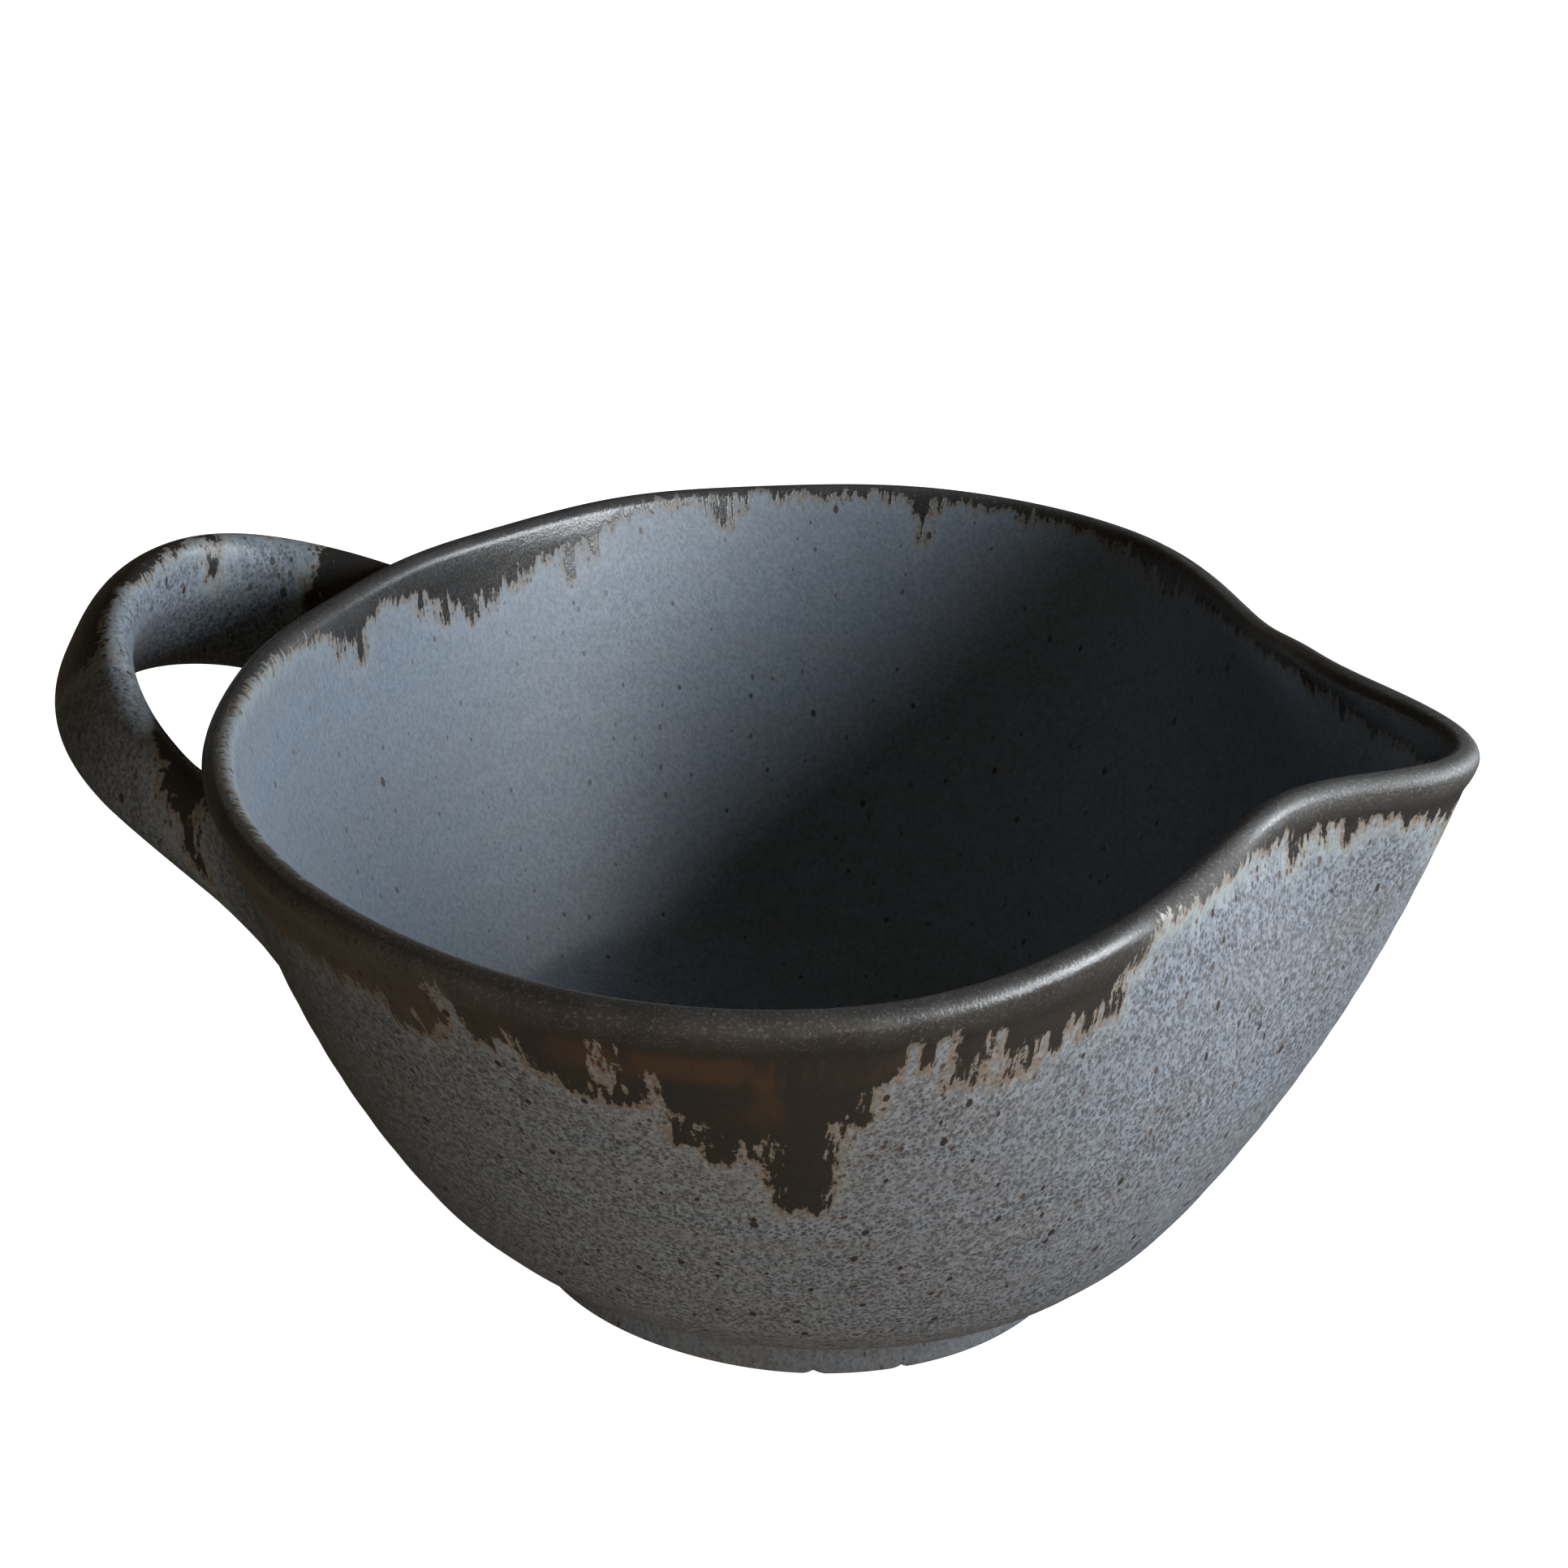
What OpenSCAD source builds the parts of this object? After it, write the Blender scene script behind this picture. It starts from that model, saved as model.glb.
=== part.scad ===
// Wheel-thrown stoneware mixing bowl with a pulled pouring spout and a strap handle.
// Origin at the centre of the foot's resting face, +X towards the spout, +Z up.
// Angles run around +Z and are measured from the spout.

/* [Foot] */
// Outer radius of the foot ring where it rests
foot_r = 49.8; // [44:0.2:52]
// Height of the foot ring, up to the turned step
foot_h = 6.8; // [5:0.1:9]
// Width of the foot ring across its resting face
foot_w = 7; // [5:0.5:10]
// Radius of the turned step, where the wall starts above the foot
step_r = 54.2; // [53:0.2:58]

/* [Wall] */
// Radius of the curve's lower handle, which sets how full the belly is
belly_low_r = 71.1; // [66:0.5:76]
// Height of the curve's lower handle
belly_low_h = 16.3; // [13:0.1:20]
// Radius of the curve's upper handle, which sets how upright the wall is
belly_high_r = 92.3; // [88:0.5:98]
// Height of the curve's upper handle
belly_high_h = 56.4; // [50:0.5:62]
// Wall thickness above the foot
wall_base = 7; // [5:0.5:8]
// Thickness of the floor at its centre
floor_t = 6.7; // [5:0.1:9]
// How late the round base turns into the oval of the rim
oval_grow = 1.86; // [1.5:0.02:3]

/* [Rim] */
// Mean radius of the wall's centre line at the rim
mean_r = 105; // [100:0.5:110]
// Radius of the rim line before it is pulled out of round
rim_r = 108.8; // [104:0.2:112]
// How far the rim is drawn towards the spout
rim_shift = 10.6; // [6:0.2:12]
// Half of what the rim is wider across than along
rim_oval = 5.7; // [2:0.1:8]
// How far the rim leans to the right-hand side
rim_skew = 1.6; // [0:0.1:3]
// Height of the rim line
rim_h = 97.4; // [90:0.2:105]
// How far the rim waves up at both sides and down at the spout and the handle
rim_wave = 1; // [0:0.1:2]
// How far the rim tips up at the right-hand side
rim_tip = 1; // [0:0.1:2]
// Radius of the rounded lip, half its thickness
lip_r = 2.05; // [1.8:0.05:2.6]

/* [Spout] */
// How far the throat on each side of the spout is pinched in
throat_depth = 35.3; // [20:0.5:38]
// Angle that the pinched stretch reaches to on each side
throat_angle = 67; // [55:1:75]
// How far the tip is drawn out again
spout_reach = 22.1; // [10:0.5:26]
// Angle that sets the width of the tip
spout_angle = 13.8; // [11:0.2:18]
// Height of the spout over the rim line
spout_lift = 9.1; // [4:0.1:12]
// Angle that the raised stretch reaches to on each side
lift_angle = 38; // [28:1:45]

/* [Handle] */
// Angle of the handle's left end on the wall
left_angle = 160; // [152:0.5:164]
// Angle of the handle's right end on the wall, measured the other way
right_angle = 144.5; // [138:0.5:150]
// Place of both ends up the wall, from the foot (0) to the rim (1)
end_place = 0.86; // [0.8:0.01:0.88]
// How far the left half of the loop is drawn out behind the bowl's axis
left_reach = 142.4; // [136:0.2:148]
// How far the right half of the loop is drawn out behind the bowl's axis
right_reach = 143.6; // [136:0.2:148]
// Half of the loop's span where it turns
loop_span = 33; // [28:0.5:38]
// Height that the left half of the loop rises to
left_h = 98; // [92:0.5:102]
// Height that the right half of the loop rises to
right_h = 93.4; // [88:0.2:98]
// Width of the strap at the middle of the loop
strap_w = 28.4; // [24:0.2:32]
// Width of the strap at its left end, where it was pulled from
strap_left_w = 29.8; // [24:0.2:32]
// Width of the strap at its right end, the thin end of the pull
strap_right_w = 13.4; // [12:0.2:20]
// Thickness of the strap at the middle of the loop
strap_t = 10.4; // [8:0.2:12]
// Thickness of the strap where it meets the wall
strap_end_t = 11.3; // [10:0.1:14]
// Lean of the strap's upper edge towards the bowl at the middle of the loop
strap_lean = 25; // [10:1:30]

/* [Handle roots] */
// Place of the left root's centre up the wall
left_root_place = 0.83; // [0.78:0.01:0.85]
// Place of the right root's centre up the wall
right_root_place = 0.78; // [0.74:0.01:0.84]
// Height of wall that the left root is smeared over
left_root_h = 41; // [36:0.5:44]
// Height of wall that the right root is smeared over
right_root_h = 29; // [22:0.5:36]
// Length of wall that each root is smeared over
root_w = 19.6; // [16:0.2:24]

/* [Hidden] */

SECTORS = 104;
SECTOR_PULL = 26;    // moves sectors towards the spout, where the rim turns fastest
OUTER_STEPS = 13;
LIP_STEPS = 8;
INNER_STEPS = 9;
FLOOR_STEPS = 6;
FLOOR_START = 0.3;   // where the inner wall starts to curve into the floor
FLOOR_TURN = 0.85;
NUDGE = 0.001;       // step for slopes, as a share of the wall's curve
NUDGE_ANGLE = 0.1;
EDGE = 0.8;          // softened edges of the foot ring
UNDERCUT = 0.6;      // the foot ring narrows towards its top

LEFT_END = 0.16;     // share of the loop taken by the left root
RIGHT_END = 0.84;
ROOT_DEPTH = 4;      // how far a root is swept into the wall before it is trimmed
STRAP_STEPS = 28;
ROOT_STEPS = 9;
SECTION_POINTS = 20;
SECTION_SQUARE = 0.9; // under 1 flattens the strap's faces

function lerp(a, b, f) = a + (b - a) * f;
function unit(v) = v / norm(v);
function bezier(p, u) = pow(1 - u, 3) * p[0] + 3 * u * pow(1 - u, 2) * p[1]
    + 3 * u * u * (1 - u) * p[2] + pow(u, 3) * p[3];
function bezier_slope(p, u) = 3 * pow(1 - u, 2) * (p[1] - p[0]) + 6 * u * (1 - u) * (p[2] - p[1])
    + 3 * u * u * (p[3] - p[2]);

// The rim line by its angle, from -180 to 180
function rim_radius(a) = rim_r + rim_shift * cos(a) - rim_oval * cos(2 * a) - rim_skew * sin(a)
    - throat_depth * exp(-pow(a / throat_angle, 4)) + spout_reach * exp(-pow(a / spout_angle, 2));
function rim_height(a) =
    rim_h - rim_wave * cos(2 * a) - rim_tip * sin(a) + spout_lift * exp(-pow(a / lift_angle, 4));

// The wall's reference sheet: the outside at the foot, the lip's centre line at the rim
PROFILE = [
    [step_r, foot_h], [belly_low_r, belly_low_h], [belly_high_r, belly_high_h], [mean_r, rim_h]
];
function wall_point(a, u) =
    let (p = bezier(PROFILE, u),
         t = (p[1] - foot_h) / (rim_h - foot_h),
         r = p[0] * (1 + (rim_radius(a) / mean_r - 1) * pow(t, oval_grow)),
         z = foot_h + (rim_height(a) - foot_h) * t)
    [r * cos(a), r * sin(a), z];
function up_wall(a, u) = unit(wall_point(a, min(u + NUDGE, 1)) - wall_point(a, max(u - NUDGE, 0)));
function outward(a, u) =
    unit(cross(wall_point(a + NUDGE_ANGLE, u) - wall_point(a - NUDGE_ANGLE, u), up_wall(a, u)));
function skin(a, u, off) = wall_point(a, u) + off * outward(a, u);
function outside(a, u) = skin(a, u, lip_r * u);
function inside(a, u) = skin(a, u, lip_r * u - lerp(wall_base, 2 * lip_r, u));
function lip(a, turn) = wall_point(a, 1) + lip_r * (cos(turn) * outward(a, 1) + sin(turn) * up_wall(a, 1));
function floor_point(a, v) =
    let (edge = inside(a, FLOOR_START),
         r = norm([edge[0], edge[1]]),
         r_now = pow(1 - v, 2) * r + 2 * v * (1 - v) * FLOOR_TURN * r,
         z_now = pow(1 - v, 2) * edge[2] + (1 - pow(1 - v, 2)) * (foot_h + floor_t))
    [r_now * cos(a), r_now * sin(a), z_now];

ANGLES = [
    for (i = [0:SECTORS - 1]) let (even = 360 * i / SECTORS - 180) even - SECTOR_PULL * sin(even)
];
OUTER_RINGS = [for (k = [0:OUTER_STEPS]) [for (a = ANGLES) outside(a, k / OUTER_STEPS)]];
LIP_RINGS = [for (k = [1:LIP_STEPS - 1]) [for (a = ANGLES) lip(a, 180 * k / LIP_STEPS)]];
INNER_RINGS = [
    for (k = [0:INNER_STEPS]) [for (a = ANGLES) inside(a, lerp(1, FLOOR_START, k / INNER_STEPS))]
];
FLOOR_RINGS = [for (k = [1:FLOOR_STEPS - 1]) [for (a = ANGLES) floor_point(a, k / FLOOR_STEPS)]];

// A closed solid through a stack of rings, flat under the first and pointed at the last
module ring_stack(rings, tip) {
    n = len(rings[0]);
    last = len(rings) - 1;
    sides = [
        for (k = [0:last - 1]) for (i = [0:n - 1]) let (j = (i + 1) % n)
            each [[k * n + i, k * n + n + i, k * n + n + j], [k * n + i, k * n + n + j, k * n + j]]
    ];
    close = [for (i = [0:n - 1]) [last * n + i, (last + 1) * n, last * n + (i + 1) % n]];
    polyhedron(
        points = concat([for (ring = rings) each ring], [tip]),
        faces = concat([[for (i = [0:n - 1]) i]], sides, close)
    );
}

module bowl_wall() {
    color("slategray")
        ring_stack(concat(OUTER_RINGS, LIP_RINGS, INNER_RINGS, FLOOR_RINGS), [0, 0, foot_h + floor_t]);
}

// The bowl's outside as a full block, to trim what is joined to the wall
module wall_block() {
    outer_lip = [for (k = [0:LIP_STEPS / 2 - 1]) LIP_RINGS[k]];
    ring_stack(concat(OUTER_RINGS, outer_lip), [0, 0, rim_h]);
}

module foot_ring() {
    inner_r = foot_r - foot_w;
    color("dimgray")
        rotate_extrude($fn = 96)
            polygon([
                [inner_r + EDGE, 0], [foot_r - EDGE, 0], [foot_r, EDGE], [foot_r - UNDERCUT, foot_h],
                [inner_r - EDGE, foot_h], [inner_r, EDGE]
            ]);
}

// The strap's centre line, from the left end on the wall to the right end
SPINE = [
    outside(left_angle, end_place), [-left_reach, loop_span, left_h],
    [-right_reach, -loop_span, right_h], outside(-right_angle, end_place)
];
function squared(x) = sign(x) * pow(abs(x), SECTION_SQUARE);
// How near a place on the loop is to its middle: 0 at both ends, 1 at the middle
function mid_share(s) = pow(sin(180 * s), 2);
function section(s) =
    let (dir = unit(bezier_slope(SPINE, s)),
         side = unit(cross(dir, [0, 0, 1])),
         lean = strap_lean * mid_share(s),
         high = cross(side, dir) * cos(lean) - side * sin(lean),
         flat = cross(dir, high),
         half_w = lerp(lerp(strap_left_w, strap_right_w, s), strap_w, mid_share(s)) / 2,
         half_t = lerp(strap_end_t, strap_t, mid_share(s)) / 2)
    [
        for (i = [0:SECTION_POINTS - 1]) let (turn = 360 * i / SECTION_POINTS)
            bezier(SPINE, s) + half_w * squared(cos(turn)) * high + half_t * squared(sin(turn)) * flat
    ];
// The ring just inside the wall that a root spreads to; heading is 1 away from the wall, -1 into it
function landing(a, place, root_h, heading) =
    let (high = up_wall(a, place), flat = heading * cross(outward(a, place), high))
    [
        for (i = [0:SECTION_POINTS - 1]) let (turn = 360 * i / SECTION_POINTS)
            outside(a, place) - ROOT_DEPTH * outward(a, place)
                + root_h / 2 * cos(turn) * high + root_w / 2 * sin(turn) * flat
    ];

module handle_strap() {
    n = SECTION_POINTS;
    rings = [for (k = [0:STRAP_STEPS]) section(lerp(LEFT_END, RIGHT_END, k / STRAP_STEPS))];
    sides = [
        for (k = [0:STRAP_STEPS - 1]) for (i = [0:n - 1]) let (j = (i + 1) % n)
            each [[k * n + i, k * n + n + i, k * n + n + j], [k * n + i, k * n + n + j, k * n + j]]
    ];
    color("lightslategray")
        polyhedron(
            points = [for (ring = rings) each ring],
            faces = concat(
                [[for (i = [0:n - 1]) i]], sides, [[for (i = [n - 1:-1:0]) STRAP_STEPS * n + i]]
            )
        );
}

// The end of the strap, spread out where it is smeared on to the wall
module handle_root(strap_end, wall_end, target) {
    rings = [
        for (k = [0:ROOT_STEPS]) let (f = k / ROOT_STEPS)
            section(lerp(strap_end, wall_end, f)) * (1 - f * f) + target * f * f
    ];
    color("slategray")
        difference() {
            for (k = [0:ROOT_STEPS - 1])
                hull()
                    segment(rings[k], rings[k + 1]);
            wall_block();
        }
}
module segment(ring_a, ring_b) {
    n = len(ring_a);
    polyhedron(
        points = concat(ring_a, ring_b),
        faces = concat(
            [[for (i = [0:n - 1]) i]], [[for (i = [n - 1:-1:0]) n + i]],
            [for (i = [0:n - 1]) let (j = (i + 1) % n) each [[i, n + i, n + j], [i, n + j, j]]]
        )
    );
}
module handle_left_root()
    handle_root(LEFT_END, 0, landing(left_angle, left_root_place, left_root_h, 1));
module handle_right_root()
    handle_root(RIGHT_END, 1, landing(-right_angle, right_root_place, right_root_h, -1));

bowl_wall();
foot_ring();
handle_strap();
handle_left_root();
handle_right_root();
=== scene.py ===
"""Looks for the stoneware mixing bowl: the thrown body, its foot and its pulled handle, in glaze.

Lengths are in mm until make_mesh, and in metres for the stage, lights and camera. Angles are in degrees, 0 at
the spout and + turning left as seen from above. In the shape functions, a is an angle round the bowl, u a
share of the wall from foot to rim, and s a length in mm down the skin from the lip's crest.
"""
import math
from types import SimpleNamespace

import bpy
import numpy as np
from mathutils import Matrix, Vector
from mathutils.bvhtree import BVHTree


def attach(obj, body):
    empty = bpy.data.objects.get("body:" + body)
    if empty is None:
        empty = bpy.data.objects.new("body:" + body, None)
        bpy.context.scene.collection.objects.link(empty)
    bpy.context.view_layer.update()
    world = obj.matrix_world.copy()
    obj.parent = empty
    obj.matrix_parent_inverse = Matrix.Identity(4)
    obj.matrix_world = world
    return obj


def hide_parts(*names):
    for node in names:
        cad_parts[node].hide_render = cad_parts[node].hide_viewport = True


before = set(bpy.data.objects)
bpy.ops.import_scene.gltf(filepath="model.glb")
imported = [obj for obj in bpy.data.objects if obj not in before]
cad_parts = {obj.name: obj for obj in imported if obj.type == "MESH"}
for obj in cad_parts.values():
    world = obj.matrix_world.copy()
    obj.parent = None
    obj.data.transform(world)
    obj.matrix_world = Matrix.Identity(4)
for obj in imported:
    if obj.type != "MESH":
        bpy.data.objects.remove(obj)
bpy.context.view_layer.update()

MM = 0.001

# ---------------- the shape's own sizes, in mm
# foot ring: radius, height, width; radius of the turned step above it
FOOT_R, FOOT_H, FOOT_W, STEP_R = 49.8, 6.8, 7.0, 54.2
# the two middle handles of the wall's curve, as radius and height
BELLY_LOW, BELLY_HIGH = (71.1, 16.3), (92.3, 56.4)
# wall thickness at the foot, floor thickness, and how late up the wall the oval of the rim sets in
WALL_BASE, FLOOR_T, OVAL_GROW = 7.0, 6.7, 1.86
# rim seen from above: mean radius of the wall's curve, then radius, shift to the spout, oval and skew
MEAN_R, RIM_R, RIM_SHIFT, RIM_OVAL, RIM_SKEW = 105.0, 108.8, 10.6, 5.7, 1.6
# rim seen from the side: height, wave, tip to one side; and the lip's own radius
RIM_H, RIM_WAVE, RIM_TIP, LIP_R = 97.4, 1.0, 1.0, 2.05
THROAT_DEPTH, THROAT_ANGLE = 35.3, 67.0
SPOUT_REACH, SPOUT_ANGLE, SPOUT_LIFT, LIFT_ANGLE = 22.1, 13.8, 9.1, 38.0
# the handle's ends on the wall, and the two middle handles of its curve
LEFT_ANGLE, RIGHT_ANGLE, END_PLACE = 160.0, 144.5, 0.86
LOOP = ((-142.4, 33.0, 98.0), (-143.6, -33.0, 93.4))
STRAP_W, STRAP_LEFT_W, STRAP_RIGHT_W = 28.4, 29.8, 13.4
STRAP_T, STRAP_END_T, STRAP_LEAN, SECTION_SQUARE = 10.4, 11.3, 25.0, 0.9
# shares of the loop where the roots begin; how deep they sit in the wall and how wide they spread
LEFT_END, RIGHT_END, ROOT_DEPTH, ROOT_W = 0.16, 0.84, 4.0, 19.6
# each root: angle, place up the wall, height, heading
ROOTS = ((LEFT_ANGLE, 0.83, 41.0, 1.0), (-RIGHT_ANGLE, 0.78, 29.0, -1.0))
# where the floor's curve leaves the wall, and how far out it turns flat
FLOOR_START, FLOOR_TURN = 0.3, 0.85

PROFILE = np.array([(STEP_R, FOOT_H), BELLY_LOW, BELLY_HIGH, (MEAN_R, RIM_H)])


def unit(v):
    return v / np.linalg.norm(v, axis=-1, keepdims=True)


def step(start, end, x):
    """0 before start, 1 past end, smooth between; end may be the lower of the two."""
    t = np.clip((x - start) / (end - start), 0, 1)
    return t * t * (3 - 2 * t)


def bezier(p, u):
    u = np.asarray(u, float)[..., None]
    return (1 - u) ** 3 * p[0] + 3 * u * (1 - u) ** 2 * p[1] + 3 * u * u * (1 - u) * p[2] + u ** 3 * p[3]


def bezier_slope(p, u):
    u = np.asarray(u, float)[..., None]
    return 3 * (1 - u) ** 2 * (p[1] - p[0]) + 6 * u * (1 - u) * (p[2] - p[1]) + 3 * u * u * (p[3] - p[2])


def turn_of(a):
    """An angle brought to -180..180 degrees."""
    return (np.asarray(a, float) + 180) % 360 - 180


def arc_mm(a, at, radius):
    """Length round a circle from the angle `at` to the angle a."""
    return turn_of(a - at) * math.pi / 180 * radius


def rim_radius(a):
    a = turn_of(a)
    r = np.radians(a)
    oval = RIM_R + RIM_SHIFT * np.cos(r) - RIM_OVAL * np.cos(2 * r) - RIM_SKEW * np.sin(r)
    throat = THROAT_DEPTH * np.exp(-(a / THROAT_ANGLE) ** 4)
    return oval - throat + SPOUT_REACH * np.exp(-(a / SPOUT_ANGLE) ** 2)


def rim_height(a):
    a = turn_of(a)
    r = np.radians(a)
    waved = RIM_H - RIM_WAVE * np.cos(2 * r) - RIM_TIP * np.sin(r)
    return waved + SPOUT_LIFT * np.exp(-(a / LIFT_ANGLE) ** 4)


def wall_point(a, u):
    """The middle surface of the wall."""
    a, u = np.broadcast_arrays(np.asarray(a, float), np.asarray(u, float))
    p = bezier(PROFILE, u)
    t = (p[..., 1] - FOOT_H) / (RIM_H - FOOT_H)
    r = p[..., 0] * (1 + (rim_radius(a) / MEAN_R - 1) * np.maximum(t, 0) ** OVAL_GROW)
    z = FOOT_H + (rim_height(a) - FOOT_H) * t
    return np.stack([r * np.cos(np.radians(a)), r * np.sin(np.radians(a)), z], -1)


def up_wall(a, u):
    u = np.asarray(u, float)
    return unit(wall_point(a, np.minimum(u + 0.001, 1)) - wall_point(a, np.maximum(u - 0.001, 0)))


def outward(a, u):
    a = np.asarray(a, float)
    return unit(np.cross(wall_point(a + 0.1, u) - wall_point(a - 0.1, u), up_wall(a, u)))


def skin(a, u, off):
    return wall_point(a, u) + outward(a, u) * np.asarray(off, float)[..., None]


def outside(a, u):
    return skin(a, u, LIP_R * np.asarray(u, float))


def inside(a, u):
    u = np.asarray(u, float)
    return skin(a, u, LIP_R * u - (WALL_BASE + (2 * LIP_R - WALL_BASE) * u))


def lip(a, turn):
    """The rounded lip: turn is 0 at its outside, 90 at its crest and 180 at its inside."""
    turn = np.radians(turn)[..., None]
    return wall_point(a, 1.0) + LIP_R * (np.cos(turn) * outward(a, 1.0) + np.sin(turn) * up_wall(a, 1.0))


# ---------------- smooth waves for hand-made unevenness
class Waves:
    """A smooth, repeatable wave over an angle and a second coordinate."""

    def __init__(self, seed, count, low, high, across=0.0):
        rng = np.random.default_rng(seed)
        self.k = rng.integers(low, high + 1, count)
        self.m = rng.normal(0, 1, count) * across
        self.phase = rng.uniform(0, 2 * math.pi, count)

    def __call__(self, a, s=0.0):
        total = 0
        for k, m, phase in zip(self.k, self.m, self.phase):
            total = total + np.sin(np.radians(a) * k + m * s + phase)
        return total / math.sqrt(len(self.k))


# seed, number of waves, fewest and most turns, and how much they change with the second coordinate
RING_WAVER = Waves(3, 7, 2, 9, 0.05)
WALL_WOBBLE = Waves(11, 9, 2, 7, 0.04)
RIM_RISE = Waves(5, 8, 3, 14)
FOOT_WAVE = Waves(21, 8, 2, 11)
STRAP_WAVER = Waves(8, 6, 1, 4, 9.0)


# ---------------- where the dark rim glaze runs to
# the edge of the even band outside, as (angle, depth in mm below the crest)
OUTER_BAND = [
    (-180, 8), (-165, 9), (-150, 12), (-136, 15), (-122, 14), (-112, 13), (-104, 14), (-98, 12),
    (-92, 17), (-87, 17), (-84, 25), (-80, 29), (-77, 29), (-74, 24), (-72, 17), (-69, 11), (-64, 12),
    (-57, 12.5), (-50.5, 11), (-49, 4.5), (-44, 3.2), (-36, 4.8), (-29, 5), (-20, 7), (-12, 7.5),
    (-4, 10), (5, 10), (16, 8), (30, 5), (46, 5), (60, 8), (76, 13), (88, 16), (98, 12), (112, 9),
    (128, 13), (142, 12), (158, 10), (170, 9), (180, 8)
]
# single runs: angle, depth, half width
OUTER_RUNS = [
    (-113, 16, 1.5), (-106, 19, 2.2), (-103.6, 17.5, 1.3), (-98.5, 15.5, 1.6), (-94.5, 18, 1.4),
    (-92.6, 21, 2), (-90.7, 22, 1.8), (-88, 21.5, 2.6), (-84.2, 31, 1.8), (-81.8, 34, 2.6),
    (-79.6, 33, 2), (-75.8, 45.5, 3.6), (-77, 46, 1.4), (-74.6, 45, 1.6), (-72, 23, 1.4), (-67.5, 11, 0.9),
    (-64, 17.2, 1.6), (-60.2, 18.6, 1.2), (-58.8, 18, 1.1), (-56, 14.6, 0.9), (-52.8, 14.5, 1),
    (-50.6, 13.6, 1), (-47.6, 7.4, 0.8), (-21, 10.6, 0.9), (-17.4, 9.3, 0.7), (-14, 10, 0.7),
    (-2.5, 16, 0.9), (78, 19, 2.2), (86, 29, 3), (90, 25, 1.6), (106, 13, 1.4), (131, 18, 1.8),
    (139, 22, 2), (36, 8, 1), (22, 12, 1.1)
]
# pale gaps that reach up into the dark: angle, depth of the gap's top, half width
OUTER_GAPS = [
    (-100.8, 3.6, 1.7), (-96.3, 9, 0.9), (-89.6, 6.5, 1.3), (-86.4, 13.2, 1.6), (-83, 25, 0.8),
    (-78.6, 27, 0.9), (-68.9, 6, 1.2), (-66.3, 5.6, 1.4), (-62, 7.6, 1.5), (-59.5, 12, 0.6),
    (-55, 10.8, 0.8), (82, 14, 1.4), (94, 12, 1.6)
]
# the same band and runs on the inside
INNER_BAND = [
    (-180, 4.4), (-170, 2.6), (-160, 1.0), (-150, 0.0), (-138, 0.0), (-128, 1.2), (-116, 2.6),
    (-104, 3.6), (-90, 4.2), (-70, 4.6), (-50, 4.4), (-30, 4.2), (-12, 6), (0, 9), (12, 7), (24, 4.4),
    (45, 3.4), (60, 4.6), (66, 6), (74, 3.8), (84, 4), (95, 3.4), (104, 3.8), (112, 2.6), (122, 2.6),
    (129, 3.4), (135, 7.2), (141, 8), (147, 11.5), (153, 12.5), (159, 8.4), (164, 6.6), (167, 5.6),
    (171, 6.4), (174, 10.4), (180, 4.4)
]
INNER_RUNS = [
    (157, 14, 1.3), (152.2, 15.6, 1.6), (148.6, 13.4, 1.2), (144.6, 12, 0.9), (137.5, 13, 1),
    (134.2, 10.4, 0.7), (160.6, 9.8, 0.9), (173, 13, 1.3), (177, 10, 1), (118, 8, 1.3), (95.8, 7.4, 1.3),
    (95.6, 12, 0.35), (64, 8.2, 0.9), (67.6, 7.2, 0.8), (20.5, 6, 0.8), (84.5, 5.4, 0.6)
]
FAR_FROM_DARK, NO_DARK = 60, -40.0    # distances in mm that stand for "a long way off"
RUN_TAPER = 0.35                      # a run is this share wider at the crest than at its end
GAP_TAPER, GAP_TAPER_RISE, GAP_TAPER_LENGTH = 0.4, 6, 12


def band(table, a):
    x, y = zip(*table)
    return np.interp(turn_of(a), x, y)


def run_distance(a, s, at, end, half, radius):
    """How far inside a rounded, slightly tapered run a place is, in mm."""
    below = np.maximum(s - (end - half), 0)
    wide = half * (1 + RUN_TAPER * np.clip(1 - s / max(end, 1), 0, 1))
    return wide - np.hypot(arc_mm(a, at, radius), below)


def dark_distance(a, s, edge_table, runs, gaps=()):
    """Signed distance into the dark glaze, in mm."""
    radius = rim_radius(a)
    edge = np.clip(band(edge_table, a) - s, -FAR_FROM_DARK, FAR_FROM_DARK)
    for at, end, half in runs:
        edge = np.maximum(edge, run_distance(a, s, at, end, half, radius))
    for at, top, half in gaps:
        wide = half * (1 - GAP_TAPER * np.clip((top + GAP_TAPER_RISE - s) / GAP_TAPER_LENGTH, 0, 1))
        gap = wide - np.hypot(arc_mm(a, at, radius), np.maximum(top + half - s, 0))
        edge = np.minimum(edge, -gap)
    return edge


# ---------------- mesh making
def new_object(name, points, faces):
    mesh = bpy.data.meshes.new(name)
    mesh.from_pydata(points, [], faces)
    mesh.update()
    obj = bpy.data.objects.new(name, mesh)
    bpy.context.scene.collection.objects.link(obj)
    return obj


def make_mesh(name, points, faces, fields):
    """A smooth-shaded object from points in mm, with its fields as attributes."""
    obj = new_object(name, (np.asarray(points) * MM).tolist(), faces)
    mesh = obj.data
    mesh.validate()
    for key, value in fields.items():
        value = np.asarray(value, np.float32)
        if value.ndim == 2:
            mesh.attributes.new(key, "FLOAT_VECTOR", "POINT").data.foreach_set("vector", value.ravel())
        else:
            mesh.attributes.new(key, "FLOAT", "POINT").data.foreach_set("value", value)
    mesh.polygons.foreach_set("use_smooth", np.ones(len(mesh.polygons), bool))
    mesh.update()
    return obj


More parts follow.
